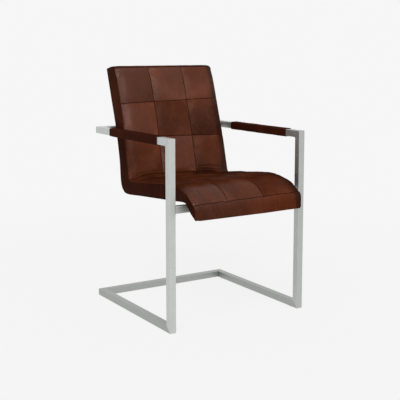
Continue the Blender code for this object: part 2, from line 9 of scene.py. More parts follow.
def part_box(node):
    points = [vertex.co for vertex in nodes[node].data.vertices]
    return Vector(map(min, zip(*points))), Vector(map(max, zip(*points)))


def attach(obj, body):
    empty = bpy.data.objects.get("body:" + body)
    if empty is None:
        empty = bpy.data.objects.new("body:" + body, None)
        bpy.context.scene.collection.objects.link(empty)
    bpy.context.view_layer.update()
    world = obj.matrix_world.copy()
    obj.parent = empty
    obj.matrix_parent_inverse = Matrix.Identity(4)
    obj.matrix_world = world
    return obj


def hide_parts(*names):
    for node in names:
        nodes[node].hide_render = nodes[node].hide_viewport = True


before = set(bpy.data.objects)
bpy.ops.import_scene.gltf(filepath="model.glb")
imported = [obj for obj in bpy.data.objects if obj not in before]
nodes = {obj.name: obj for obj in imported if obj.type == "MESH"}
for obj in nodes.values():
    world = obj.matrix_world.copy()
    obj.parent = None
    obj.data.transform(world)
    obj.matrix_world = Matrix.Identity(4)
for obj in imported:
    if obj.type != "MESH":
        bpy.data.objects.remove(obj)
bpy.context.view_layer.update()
print("frame loaded,", len(nodes), "nodes")


class Wire:
    # an output of a node; sums and products of wires add Math nodes
    def __init__(self, paint, socket):
        self.paint = paint
        self.socket = socket

    def maths(self, operation, *values):
        return self.paint.add("Math", {"operation": operation}, dict(enumerate(values)))

    def __add__(self, other):
        return self.maths("ADD", self, other)

    def __radd__(self, other):
        return self.maths("ADD", other, self)

    def __sub__(self, other):
        return self.maths("SUBTRACT", self, other)

    def __rsub__(self, other):
        return self.maths("SUBTRACT", other, self)

    def __mul__(self, other):
        return self.maths("MULTIPLY", self, other)

    def __rmul__(self, other):
        return self.maths("MULTIPLY", other, self)

    def __truediv__(self, other):
        return self.maths("DIVIDE", self, other)

    def __abs__(self):
        return self.maths("ABSOLUTE", self)

    def most(self, other):
        return self.maths("MAXIMUM", self, other)

    def least(self, other):
        return self.maths("MINIMUM", self, other)

    def clip(self, low=0.0, high=1.0):
        return self.most(low).least(high)

    def fraction(self):
        return self.maths("FRACT", self, 0.0)


class Paint:
    # the nodes of a material or of the world
    def __init__(self, owner, shader="Principled BSDF", **fixed):
        owner.use_nodes = True
        self.owner = owner
        self.tree = owner.node_tree
        self.shader = self.tree.nodes[shader]
        for socket, value in fixed.items():
            self.shader.inputs[socket.replace("_", " ")].default_value = value

    def add(self, kind, settings=None, sockets=None, output=0):
        made = self.tree.nodes.new("ShaderNode" + kind)
        for key, value in (settings or {}).items():
            setattr(made, key, value)
        for key, value in (sockets or {}).items():
            self.plug(value, made.inputs[key])
        return Wire(self, made.outputs[output])

    def plug(self, value, socket):
        if isinstance(value, Wire):
            self.tree.links.new(value.socket, socket)
        else:
            socket.default_value = value

    def set(self, socket, value):
        self.plug(value, self.shader.inputs[socket])

    def drawn(self, name):
        # a value that the mesh carries
        return self.add("Attribute", {"attribute_name": name}, output="Fac")

    def mixColours(self, factor, first, second):
        return self.add("Mix", {"data_type": "RGBA"}, {0: factor, 6: first, 7: second}, 2)

    def place(self, stretch=(1, 1, 1), turn=(0, 0, 0)):
        spot = self.add("TexCoord", output="Object")
        return self.add("Mapping", None, {"Vector": spot, "Rotation": turn, "Scale": stretch})

    def moved(self, spot, amount, way):
        # the same spot shifted by a varying amount, so that each patch has its own skin
        step = self.add("VectorMath", {"operation": "SCALE"}, {0: way, "Scale": amount})
        return self.add("VectorMath", {"operation": "ADD"}, {0: spot, 1: step})

    def cloud(self, spot, scale, detail=3.0, rough=0.55, twist=0.0):
        sockets = {"Vector": spot, "Scale": scale, "Detail": detail, "Roughness": rough, "Distortion": twist}
        return self.add("TexNoise", None, sockets)

    def cells(self, spot, scale, feature="F1"):
        return self.add("TexVoronoi", {"feature": feature}, {"Vector": spot, "Scale": scale})

    def bump(self, height, distance, strength, under=None):
        sockets = {"Height": height, "Distance": distance, "Strength": strength}
        if under:
            sockets["Normal"] = under
        return self.add("Bump", None, sockets)

    def seenWhite(self):
        # 1 where the camera, a mirror or a glass looks, 0 for the light that falls on the chair
        kinds = ("Camera", "Glossy", "Transmission")
        camera, glossy, clear = (self.add("LightPath", output="Is %s Ray" % kind) for kind in kinds)
        return camera.most(glossy).most(clear)


def newPaint(name, **fixed):
    return Paint(bpy.data.materials.new(name), **fixed)


def fromSrgb(*colour):
    return tuple(c / 3294.6 if c < 10.3 else ((c / 255 + 0.055) / 1.055) ** 2.4 for c in colour) + (1.0,)


def addObject(name, data):
    thing = bpy.data.objects.new(name, data)
    bpy.context.scene.collection.objects.link(thing)
    return thing


def solidMesh(name, points, faces):
    # a smooth closed mesh whose faces all look outwards
    mesh = bpy.data.meshes.new(name)
    mesh.from_pydata(points, [], faces)
    turned = bmesh.new()
    turned.from_mesh(mesh)
    bmesh.ops.recalc_face_normals(turned, faces=turned.faces)
    print(name, "closed:", all(len(edge.link_faces) == 2 for edge in turned.edges))
    turned.to_mesh(mesh)
    turned.free()
    mesh.shade_smooth()
    return mesh


def drawOn(mesh, domain, names, rows):
    # values that the paint reads, a row of them for each point or face
    for name, values in zip(names, np.array(rows, float).T):
        mesh.attributes.new(name, "FLOAT", domain).data.foreach_set("value", np.ascontiguousarray(values))


leatherLook = {
    "deep": fromSrgb(50, 22, 12), "brown": fromSrgb(98, 52, 32),       # a patch's tone lies between these two
    "worn": fromSrgb(124, 74, 50), "wornShare": 0.42,
    "rust": fromSrgb(124, 54, 22), "smokeRust": 0.35,
    "seamShade": fromSrgb(30, 12, 7), "ditchShare": 0.88, "ditchWidth": 0.0021,
    "thread": fromSrgb(74, 38, 25), "threadShare": 0.5,
    "wax": 0.55, "waxGloss": 0.30, "waxTint": (1.0, 0.90, 0.82, 1.0),  # a thin coat over the whole patch
    "gloss": 0.62,
    "hazeScale": 5.0, "smokeScale": 12.0, "mottleScale": 85.0, "crackScale": 70.0, "grainScale": 700.0,
    "hazeShade": 0.60, "smokeShade": 0.36, "mottleShade": 0.20, "crackShade": 0.05,
    "scuffStretch": (150.0, 150.0, 16.0), "scuffTurn": 0.55, "scuffShade": 0.40,
    "litRimWidth": 0.009, "litRimLight": 0.05,        # the leather is worn paler beside the seams, and painted lighter there as a highlight where the seam lips catch the light
    "grainDepth": 0.00010, "crackDepth": 0.00018, "hazeDepth": 0.0010,
    "stitchSide": 0.0027, "stitchLength": 0.0045, "stitchWidth": 0.0005,
}
sideLook = dict(
    leatherLook, deep=fromSrgb(36, 15, 9), brown=fromSrgb(68, 33, 20), worn=fromSrgb(86, 48, 32),
    rust=fromSrgb(84, 36, 16), wax=0.25,
)
padLook = dict(sideLook, brown=fromSrgb(74, 34, 20), worn=fromSrgb(92, 48, 32), rust=fromSrgb(90, 36, 15))


def leatherPaint(name, look):
    p = newPaint(name, Specular_IOR_Level=0.0, Coat_Roughness=look["waxGloss"], Coat_Tint=look["waxTint"])
    drawn = ("patchTone", "patchSeed", "rowNear", "columnNear", "waxed", "polish")
    tone, seed, rowNear, columnNear, waxed, polish = (p.drawn(value) for value in drawn)

    spot = p.moved(p.place(), seed, (3.1, 1.7, 2.3))
    smokeSpot = p.moved(p.place((1.0, 1.0, 0.6), (0.5, 0.3, 0.0)), seed, (5.3, 4.1, 0.7))
    scuffSpot = p.moved(p.place(look["scuffStretch"], (0.0, look["scuffTurn"], 0.0)), seed, (3.0, 7.0, 5.0))
    crackSpot = p.moved(p.place((1.0, 1.0, 1.5)), seed, (2.0, 1.0, 4.0))
    haze = p.cloud(spot, look["hazeScale"], 2.0, 0.5, 0.6)
    smoke = p.cloud(smokeSpot, look["smokeScale"], 3.0, 0.55, 0.6)
    scuff = ((p.cloud(scuffSpot, 1.0, 2.0, 0.5) - 0.60) * 5.0).clip()
    mottle = p.cloud(spot, look["mottleScale"], 4.0, 0.6)
    cracks = 1.0 - (p.cells(crackSpot, look["crackScale"], "DISTANCE_TO_EDGE") * 11.0).clip()
    ditch = 1.0 - rowNear.least(columnNear * 0.8).clip(0.0, look["ditchWidth"]) / look["ditchWidth"]
    # painted highlight, partly real: paler beside the seams, where the seam lips catch the light
    rubbedLitRim = 1.0 - (rowNear.least(columnNear) / look["litRimWidth"]).clip()

    depth = tone + (haze - 0.5) * look["hazeShade"] + (smoke - 0.5) * look["smokeShade"]
    depth = depth + (mottle - 0.5) * look["mottleShade"] + scuff * look["scuffShade"]
    # the painted shade along the edges and low on the right of the back darkens the tone here
    depth = (depth + rubbedLitRim * look["litRimLight"] - cracks * look["crackShade"] - p.drawn("paintedShade")).clip()
    rust = ((smoke - 0.52) * 5.0).clip() * look["smokeRust"] + p.drawn("rusty")
    worn = ((haze - 0.52) * 4.0 + (mottle - 0.5) * 0.8 + tone - 0.45).clip()
    body = p.mixColours(depth, look["deep"], look["brown"])
    body = p.mixColours((rust * depth).clip(), body, look["rust"])
    body = p.mixColours(worn * look["wornShare"], body, look["worn"])
    body = p.mixColours(ditch * look["ditchShare"], body, look["seamShade"])

    stitches = []
    for near, run in ((rowNear, "acrossSpot"), (columnNear, "alongSpot")):
        line = 1.0 - (abs(near - look["stitchSide"]) / look["stitchWidth"]).clip()
        beat = (p.drawn(run) / look["stitchLength"]).fraction()
        stitches.append(line * (2.4 - abs(beat - 0.5) * 6.0).clip())
    thread = stitches[0].most(stitches[1])
    p.set("Base Color", p.mixColours(thread * look["threadShare"], body, look["thread"]))

    shine = waxed * polish * (0.6 + haze * 0.8) * (1.0 - ditch) * look["wax"]
    p.set("Coat Weight", shine.clip())
    rough = look["gloss"] + (smoke - 0.5) * 0.25 + (mottle - 0.5) * 0.2 + ditch * 0.2 - worn * 0.05
    p.set("Roughness", rough.clip(0.25, 0.9))
    grain = p.cells(spot, look["grainScale"]) * 0.6 + mottle * 0.4 + thread * 2.0
    skin = p.bump(1.0 - cracks, look["crackDepth"], 0.4, p.bump(grain, look["grainDepth"], 0.8))
    p.set("Normal", p.bump(haze + smoke * 0.6, look["hazeDepth"], 0.5, skin))
    return p.owner


steelLook = {
    "steel": fromSrgb(208, 211, 208), "shade": fromSrgb(188, 191, 188),
    "brush": 1500.0, "gloss": 0.42,
}
# painted shade: the same steel is painted a little darker on the right leg and arm, and darker still on the
# base, for the darker surroundings they reflect
rightShadedLook = dict(steelLook, steel=fromSrgb(195, 197, 194), shade=fromSrgb(174, 176, 173))
baseShadedLook = dict(steelLook, steel=fromSrgb(176, 178, 175), shade=fromSrgb(158, 160, 157))


def steelPaint(name, look, axis):
    # fine brush lines that run the way of the tube
    p = newPaint(name, Metallic=1.0)
    stretch = [look["brush"]] * 3
    stretch[axis] = look["brush"] / 90
    line = p.cloud(p.place(tuple(stretch)), 1.0, 2.0, 0.5)
    patch = p.cloud(p.place(), 22.0, 3.0)
    p.set("Base Color", p.mixColours((line * 0.5 + patch * 0.5).clip(), look["shade"], look["steel"]))
    p.set("Roughness", (look["gloss"] + (line - 0.5) * 0.16 + (patch - 0.5) * 0.10).clip(0.1, 0.9))
    p.set("Normal", p.bump(line, 0.00002, 0.5))
    return p.owner


def plainPaint(name, light, dark, rough, metal=0.0):
    p = newPaint(name, Metallic=metal)
    speck = p.cloud(p.place(), 180.0, 4.0, 0.6)
    p.set("Base Color", p.mixColours(speck, dark, light))
    p.set("Roughness", (rough + (speck - 0.5) * 0.2).clip(0.05, 1.0))
    p.set("Normal", p.bump(speck, 0.00005, 0.6))
    return p.owner


def woodPaint(name, light, dark):
    p = newPaint(name)
    ring = p.cloud(p.place((60.0, 4.0, 60.0)), 1.0, 4.0, 0.6, 0.5)
    p.set("Base Color", p.mixColours(ring, dark, light))
    p.set("Roughness", 0.55 + ring * 0.15)
    p.set("Normal", p.bump(ring, 0.0001, 0.5))
    return p.owner


shellLeather = leatherPaint("patchwork leather", leatherLook)
sideLeather = leatherPaint("side leather", sideLook)
padLeather = leatherPaint("arm leather", padLook)
steelRun = [steelPaint("brushed steel " + "XYZ"[axis], steelLook, axis) for axis in range(3)]
rightShadedRun = [steelPaint("right steel in painted shade " + "XYZ"[axis], rightShadedLook, axis) for axis in range(3)]
baseShadedRun = [steelPaint("base steel in painted shade " + "XYZ"[axis], baseShadedLook, axis) for axis in range(3)]
zinc = plainPaint("zinc", fromSrgb(178, 180, 184), fromSrgb(140, 142, 146), 0.36, 1.0)
nylon = plainPaint("black nylon", fromSrgb(34, 34, 35), fromSrgb(22, 22, 23), 0.55)
plywood = woodPaint("moulded plywood", fromSrgb(202, 164, 114), fromSrgb(168, 126, 80))
print("paint mixed")


# The steel frame keeps its CAD shapes and gets its finish here

finishes = (
    # the right leg, the right arm rail and the base take the darker copies of the steel, as painted shade
    (("right_front_leg",), rightShadedRun[2]),
    (("right_arm_rail",), rightShadedRun[1]),
    (("_leg", "back_corner_weld"), steelRun[2]),
    (("floor_corner_weld",), baseShadedRun[2]),
    (("_runner",), baseShadedRun[1]),
    (("floor_crossbar",), baseShadedRun[0]),
    (("_rail", "seat_bar_weld", "_seat_bracket"), steelRun[1]),
    (("crossbar", "_weld"), steelRun[0]),
    (("_bolt", "_washer", "_tee_nut", "_insert"), zinc),
    (("_glide", "_spacer"), nylon),
    (("shell_core",), plywood),
)
for name, node in nodes.items():
    for endings, finish in finishes:
        if name.endswith(endings):
            node.data.materials.clear()
            node.data.materials.append(finish)
            break


# Line of the shell, hung from the same bars as in the CAD

barLow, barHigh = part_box("seat_crossbar")
crossLow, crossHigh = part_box("rear_back_crossbar")
tube = crossHigh.z - crossLow.z
barFront, barTop = barLow.y, barHigh.z
barRear = barFront + tube
crossFront = crossLow.y
armMiddle = (crossLow.z + crossHigh.z) / 2

shell = {
    "halfWidth": 0.220, "seatHalf": 0.2212, "backHalf": 0.2158, "rearHalf": 0.2192,
    "lipReach": 0.055, "lipDrop": 0.0405, "lipKnee": 0.025, "lipKneeDrop": 0.0285, "barCorner": 0.0015,
    "barClearance": 0.0018, "seatRise": 0.007, "seatRake": radians(4.2),
    "heelInset": 0.058, "heelRadius": 0.050, "lumbarHollow": 0.006,
    "standoff": 0.0133, "recline": radians(18.2), "aboveArm": 0.240,
    "nose": 0.047, "seat": 0.067, "heel": 0.088, "lumbar": 0.076, "back": 0.0785, "edge": 0.009,
    # how the front rounds off towards the side seams: width, fall on the left and on the right
    "edgeRoll": 0.034, "seatDrop": (0.0086, 0.0004), "backDrop": (0.0054, 0.0030), "edgeThin": 0.045,
    "cornerRound": 0.0026, "sideSeam": 0.0013, "sideBulge": 0.0020, "rearRound": 0.0045, "sideThin": 0.040,
    # the square front corners stand full
    "boxLift": 0.0075, "boxAt": -0.482, "boxReach": 0.024, "boxSide": 0.045,
    # the rounded corners of both ends, and the roll that closes them
    "lipTuck": 0.0080, "lipRise": 0.0045, "topTuck": 0.0035, "tuckReach": 0.022, "tuckSide": 0.017,
    "endRoll": 0.0030, "rollAngles": (35, 62, 82), "rollNarrow": 0.006,
    "taperFrom": 0.09, "taperReach": 0.17,      # along the back, from the crease
}


def along(start, end, share):
    return start[0] + (end[0] - start[0]) * share, start[1] + (end[1] - start[1]) * share


lipEnd = (barFront - shell["lipReach"], barTop - shell["lipDrop"])
lipBend = (barFront - shell["lipKnee"], barTop - shell["lipKneeDrop"])
barEdge = (barFront - shell["barCorner"], barTop + shell["barClearance"])
seatFront = (barRear, barTop + shell["seatRise"])
rake = shell["seatRake"]
heelY = crossFront - shell["heelInset"]
heelCorner = (heelY, seatFront[1] - (heelY - seatFront[0]) * tan(rake))
backRest = (crossFront - shell["standoff"], armMiddle)
heelTurn = radians(90) + rake - atan2(backRest[0] - heelCorner[0], backRest[1] - heelCorner[1])
heelRadius = shell["heelRadius"]
heelReach = heelRadius * tan(heelTurn / 2)
seatEnd = (heelCorner[0] - heelReach * cos(rake), heelCorner[1] + heelReach * sin(rake))
heelCentre = (seatEnd[0] + heelRadius * sin(rake), seatEnd[1] + heelRadius * cos(rake))


def lipPoint(share):
    return along(along(lipEnd, lipBend, share), along(lipBend, barEdge, share), share)


def heelPoint(share):
    angle = heelTurn * share - rake
    return heelCentre[0] + heelRadius * sin(angle), heelCentre[1] - heelRadius * cos(angle)


def lumbarPoint(share):
    y, z = along(heelPoint(1.0), backRest, share)
    return y - shell["lumbarHollow"], z


def backPoint(share):
    length = shell["aboveArm"] * share
    return backRest[0] + length * sin(shell["recline"]), backRest[1] + length * cos(shell["recline"])


def rib(rear, lean, thickness):
    # a point of the rear line and the point of the front line across from it
    turn = radians(lean)
    return (*rear, rear[0] - thickness * sin(turn), rear[1] + thickness * cos(turn))


upright = 90 - degrees(shell["recline"])
nose, seat, heel, lumbar, back = (shell[part] for part in ("nose", "seat", "heel", "lumbar", "back"))
ribs = np.array([
    rib(lipPoint(0.00), 110, shell["edge"]),
    rib(lipPoint(0.14), 85, nose * 0.40),
    rib(lipPoint(0.28), 64, nose * 0.62),
    rib(lipPoint(0.40), 48, nose * 0.84),
    rib(lipPoint(0.54), 39, nose * 1.02),
    rib(lipPoint(0.76), 24, nose * 1.05),
    rib(barEdge, 8, nose * 1.02),
    rib(seatFront, -6, nose * 1.12),
    rib(along(seatFront, seatEnd, 0.16), -8.5, seat * 1.01),
    rib(along(seatFront, seatEnd, 0.46), 0, seat),
    rib(along(seatFront, seatEnd, 0.75), 18, seat * 1.02),
    rib(seatEnd, 42, heel * 0.965),
    rib(heelPoint(0.5), 53, heel * 0.99),
    rib(heelPoint(1.0), 65, heel),
    rib(lumbarPoint(0.45), 81, lumbar),
    rib(backRest, upright + 3, lumbar),
    rib(backPoint(0.475), upright + 2, back),
    rib(backPoint(0.74), upright, back * 0.99),
    rib(backPoint(0.853), upright - 3, back * 0.945),
    rib(backPoint(0.906), upright - 7, back * 0.925),
    rib(backPoint(0.95), upright - 16, back * 0.62),
    rib(backPoint(1.00), upright - 21, shell["edge"]),
])
creaseRib, lastRib = 12, len(ribs) - 1


def atPlace(place):
    # rear and front points at places along the shell, on a smooth curve through the ribs
    place = np.clip(np.asarray(place, float), 0, lastRib)
    index = np.minimum(place.astype(int), lastRib - 1)
    t = (place - index)[..., None]
    line = np.vstack([2 * ribs[0] - ribs[1], ribs, 2 * ribs[-1] - ribs[-2]])
    a, b, c, d = (line[index + k] for k in range(4))
    curve = 0.5 * (2 * b + (c - a) * t + (2 * a - 5 * b + 4 * c - d) * t**2 + (3 * b - a - 3 * c + d) * t**3)
    return curve[..., 0:2], curve[..., 2:4]


finePlaces = np.linspace(0, lastRib, lastRib * 40 + 1)
fineLength = np.concatenate([[0.0], np.cumsum(np.hypot(*np.diff(atPlace(finePlaces)[1], axis=0).T))])
wholeLength = fineLength[-1]
crease = float(np.interp(creaseRib, finePlaces, fineLength))


def acrossShell(lengths):
    # rear point, direction to the front and thickness at lengths along the cover
    rear, front = atPlace(np.interp(lengths, fineLength, finePlaces))
    thickness = np.hypot(*np.moveaxis(front - rear, -1, 0))
    return rear, (front - rear) / thickness[..., None], thickness


# Sewing plan: each row seam's length from the crease, its tilt over half a width, and the fall of its ends

quilt = {
    "rows": (
        (-0.4655, 0.0045, -0.001), (-0.322, 0.001, 0.0), (-0.163, -0.001, 0.0), (0.0, 0.0, 0.0),
        (0.0125, -0.0045, -0.014), (0.1545, -0.005, 0.0), (0.2957, 0.0052, 0.0), (0.4345, 0.0008, 0.0),
    ),
    "columns": (-0.075, 0.075),
    # the seat's column seams run a little to the left towards the front
    "columnDrift": -0.010, "driftFrom": 0.25, "driftReach": 0.15, "driftHalf": 0.09, "driftFade": 0.12,
    # the front seam waves, and sags where a column seam meets it
    "wave": 0.0013, "waveScale": 22.0, "frontReach": 0.020, "frontSag": 0.0030, "sagReach": 0.009,
    "warpReach": 0.030, "fallFrom": 0.125,
    "crown": 0.0042,              # how far a patch stands above its seams
    "quickReach": 0.012,
    "groove": 0.0010, "grooveReach": 0.0013,
    "shoulder": 0.0017, "shoulderReach": 0.0048,     # each seam lies in a soft valley
    "valleys": (1.9, 1.0, 0.8, 0.0, 0.8, 0.5, 0.5, 0.4), "columnValley": 0.45, "slackScale": 28.0,
    "creaseDepth": 0.0070, "creaseReach": 0.0080,
    "puckerDepth": 0.0006, "puckerReach": 0.009, "puckerScale": 75.0,
    "uneven": 0.0009, "unevenScale": 14.0,
    "rearGroove": 0.0010, "rearGrooveReach": 0.0014, "rearCrown": 0.0008, "rearCrownReach": 0.010,
    "step": 0.0052, "finest": 0.0004,
    "creaseLines": (-0.010, 0.036, 0.0016),      # extra mesh lines over the fold: from, to, step
}
rowSeams = crease + np.array([row[0] for row in quilt["rows"]])
columnSeams = np.array(quilt["columns"])
half = shell["halfWidth"]
frontSeam, midSeat, rearSeat, _, backBottom, backLow, backHigh, topSeam = rowSeams

# folds that sitting has left: start and end as across and along from the crease, depth, half width
folds = (
    (-0.212, 0.0120, -0.165, 0.0235, 0.0014, 0.0034),
    (0.096, 0.0300, 0.200, 0.0285, 0.0016, 0.0030),
    (0.088, 0.0190, 0.205, 0.0170, 0.0010, 0.0026),
    (-0.196, -0.4560, -0.204, -0.4400, 0.0012, 0.0022),
    (-0.176, -0.4590, -0.172, -0.4420, 0.0009, 0.0022),
    (-0.088, -0.4780, -0.091, -0.4540, 0.0014, 0.0022),
    (-0.070, -0.4600, -0.062, -0.4470, 0.0012, 0.0020),
    (-0.030, -0.4600, -0.036, -0.4450, 0.0010, 0.0022),
    (0.062, -0.4760, 0.058, -0.4520, 0.0013, 0.0022),
    (0.078, -0.4600, 0.088, -0.4460, 0.0011, 0.0020),
    (0.140, -0.4600, 0.146, -0.4470, 0.0009, 0.0022),
    (-0.214, -0.4100, -0.196, -0.4020, 0.0009, 0.0024),
    (-0.214, -0.3600, -0.198, -0.3540, 0.0009, 0.0024),
    (0.214, -0.3900, 0.196, -0.3820, 0.0009, 0.0024),
    (-0.088, -0.3300, -0.082, -0.3050, 0.0008, 0.0022),
    (0.070, -0.3420, 0.064, -0.3100, 0.0008, 0.0022),
    (0.080, 0.2830, 0.086, 0.2600, 0.0006, 0.0022),
    (-0.072, 0.1450, -0.066, 0.1250, 0.0006, 0.0022),
)


seamSteps = np.array([0, 0.6, 1.3, 2.2, 3.2, 4.6, 6.6, 9.4, 13.0]) / 1000


def seamMarks(seams, start, end, step):
    # places of the mesh lines: close together at each seam, even between
    marks = []
    edges = [start, *seams, end]
    for low, high in zip(edges, edges[1:]):
        reach = seamSteps[seamSteps < (high - low) / 2 - step / 4]
        lower, upper = low + reach, high - reach
        count = max(1, round((upper[-1] - lower[-1]) / step))
        marks += [*lower, *upper, *np.linspace(lower[-1], upper[-1], count + 1)]
    return np.unique(np.round(marks, 6))


def evenMarks(edges, step):
    marks = [edges[-1]]
    for low, high in zip(edges, edges[1:]):
        marks += list(np.linspace(low, high, max(2, round((high - low) / step)) + 1)[:-1])
    return np.array(sorted(marks))


def nearest(values, seams):
    return np.min(np.abs(np.asarray(values)[..., None] - np.asarray(seams)), axis=-1)


def softly(value):
    # an even step from 0 to 1
    value = np.clip(value, 0, 1)
    return value * value * (3 - 2 * value)


def seamNoise(values, scale, seed):
    return np.array([noise.noise(Vector((v * scale, seed, 0.5))) for v in values])


def wandered(x, s):
    # where the sewn lines really run, for the plan's places on the fine mesh
    moved = np.array(s, float)
    aside = np.abs(x)
    for (_, tilt, fall), seam in zip(quilt["rows"], rowSeams):
        hold = np.exp(-(((s - seam) / quilt["warpReach"]) ** 2))
        ends = softly((aside - quilt["fallFrom"]) / (half - quilt["fallFrom"]))
        moved += hold * (tilt * x / half + fall * ends)
    drift = quilt["columnDrift"] * softly((crease - quilt["driftFrom"] - s) / quilt["driftReach"])
    drift = drift * (1 - softly((aside - quilt["driftHalf"]) / quilt["driftFade"]))
    hold = np.exp(-(((s - frontSeam) / quilt["frontReach"]) ** 2))
    moved -= hold * quilt["frontSag"] * np.exp(-((nearest(x, columnSeams) / quilt["sagReach"]) ** 2))
    moved += hold * quilt["wave"] * seamNoise(acrossMarks, quilt["waveScale"], 9.0)
    corner = softly((aside - half + shell["tuckSide"]) / shell["tuckSide"])
    rising = shell["lipRise"] * softly((x - 0.07) / 0.15)
    moved += (corner * shell["lipTuck"] + rising) * np.exp(-s / shell["tuckReach"])
    moved -= corner * shell["topTuck"] * np.exp(-(wholeLength - s) / shell["tuckReach"])
    return x + drift, np.clip(moved, 0, wholeLength)


swell = {
    "pressure": 4.0, "spare": -0.02, "tension": 15.0, "bending": 0.5, "quality": 5, "frames": 20,
    "cap": 0.006,        # the foam lets a patch rise no further than the crown
    "across": 0.005,     # width of the sheet's squares
    "onSeam": 0.0005,
}


def billow(acrossList, alongList):
    # the padding presses the cover out between its pinned seams: a cloth sheet under pressure
    rear, way, thickness = acrossShell(alongList)
    depths = rear + way * (thickness - quilt["crown"])[:, None]
    spots = [(x, *depth) for depth in depths for x in acrossList]
    wide = len(acrossList)
    faces = [
        (row * wide + k, row * wide + k + 1, (row + 1) * wide + k + 1, (row + 1) * wide + k)
        for row in range(len(alongList) - 1) for k in range(wide - 1)
    ]
    mesh = bpy.data.meshes.new("coverSheet")
    mesh.from_pydata(spots, [], faces)
    sheet = addObject("coverSheet", mesh)

    onSeam = swell["onSeam"]
    x, s = np.meshgrid(acrossList, alongList)
    edge = (np.abs(x) > half - onSeam) | (s < onSeam) | (s > wholeLength - onSeam)
    patched = (s > frontSeam - onSeam) & (s < topSeam + onSeam)
    sewn = edge | (nearest(s, rowSeams) < onSeam) | (patched & (nearest(x, columnSeams) < onSeam))
    pins = sheet.vertex_groups.new(name="sewn")
    pins.add([int(k) for k in np.nonzero(sewn.ravel())[0]], 1.0, "REPLACE")

    cloth = sheet.modifiers.new("cloth", "CLOTH")
    cloth.settings.vertex_group_mass = "sewn"
    cloth.settings.use_pressure = True
    cloth.settings.uniform_pressure_force = swell["pressure"]
    cloth.settings.shrink_min = swell["spare"]
    cloth.settings.quality = swell["quality"]
    cloth.settings.effector_weights.gravity = 0
    cloth.settings.tension_stiffness = swell["tension"]
    cloth.settings.compression_stiffness = swell["tension"]
    cloth.settings.bending_stiffness = swell["bending"]
    cloth.collision_settings.use_collision = False
    cloth.point_cache.frame_start, cloth.point_cache.frame_end = 1, swell["frames"]
    scene = bpy.context.scene
    for number in range(1, swell["frames"] + 1):
        scene.frame_set(number)

    settled = sheet.evaluated_get(bpy.context.evaluated_depsgraph_get())
    after = np.empty(len(spots) * 3)
    settled.to_mesh().vertices.foreach_get("co", after)
    settled.to_mesh_clear()
    scene.frame_set(1)
    bpy.data.objects.remove(sheet)
    bpy.data.meshes.remove(mesh)
    move = (after.reshape(-1, 3) - np.array(spots)).reshape(len(alongList), wide, 3)[..., 1:]
    outward = np.sum(move * way[:, None, :], axis=-1)
    most, middle = (round(float(value) * 1000, 1) for value in (outward.max(), np.median(outward)))
    print("cover swollen by", most, "mm at most,", middle, "mm in the middle")
    return np.tanh(np.maximum(outward, 0) / swell["cap"])


acrossMarks = seamMarks(columnSeams, -half, half, quilt["step"])
alongMarks = seamMarks(rowSeams, 0.0, wholeLength, quilt["step"])
foldFrom, foldTo, foldStep = quilt["creaseLines"]
alongMarks = np.unique(np.round([*alongMarks, *np.arange(crease + foldFrom, crease + foldTo, foldStep)], 6))
alongMarks = alongMarks[np.concatenate([[True], np.diff(alongMarks) > quilt["finest"]])]
acrossFull, alongFull = np.meshgrid(acrossMarks, alongMarks)
print("quilt lines:", len(acrossMarks), "across", len(alongMarks), "along")


def fullness():
    # how far each point of the fine mesh has risen from its seams, 0 to 1
    acrossList = evenMarks([-half, *columnSeams, half], swell["across"])
    alongList = evenMarks([0.0, *rowSeams, wholeLength], swell["across"])
    coarse = billow(acrossList, alongList)
    rows = np.array([np.interp(acrossMarks, acrossList, row) for row in coarse])
    return np.array([np.interp(alongMarks, alongList, column) for column in rows.T]).T


def foldDepth(x, s):
    # each fold is a short valley with soft ends
    depth = np.zeros(x.shape)
    for x0, s0, x1, s1, deep, wide in folds:
        start, run = np.array((x0, crease + s0)), np.array((x1 - x0, s1 - s0))
        share = ((x - start[0]) * run[0] + (s - start[1]) * run[1]) / (run @ run)
        aside = np.hypot(x - start[0] - share * run[0], s - start[1] - share * run[1])
        ends = softly((share + 0.25) / 0.5) * softly((1.25 - share) / 0.5)
        depth += deep * ends * np.exp(-((aside / wide) ** 2))
    return depth


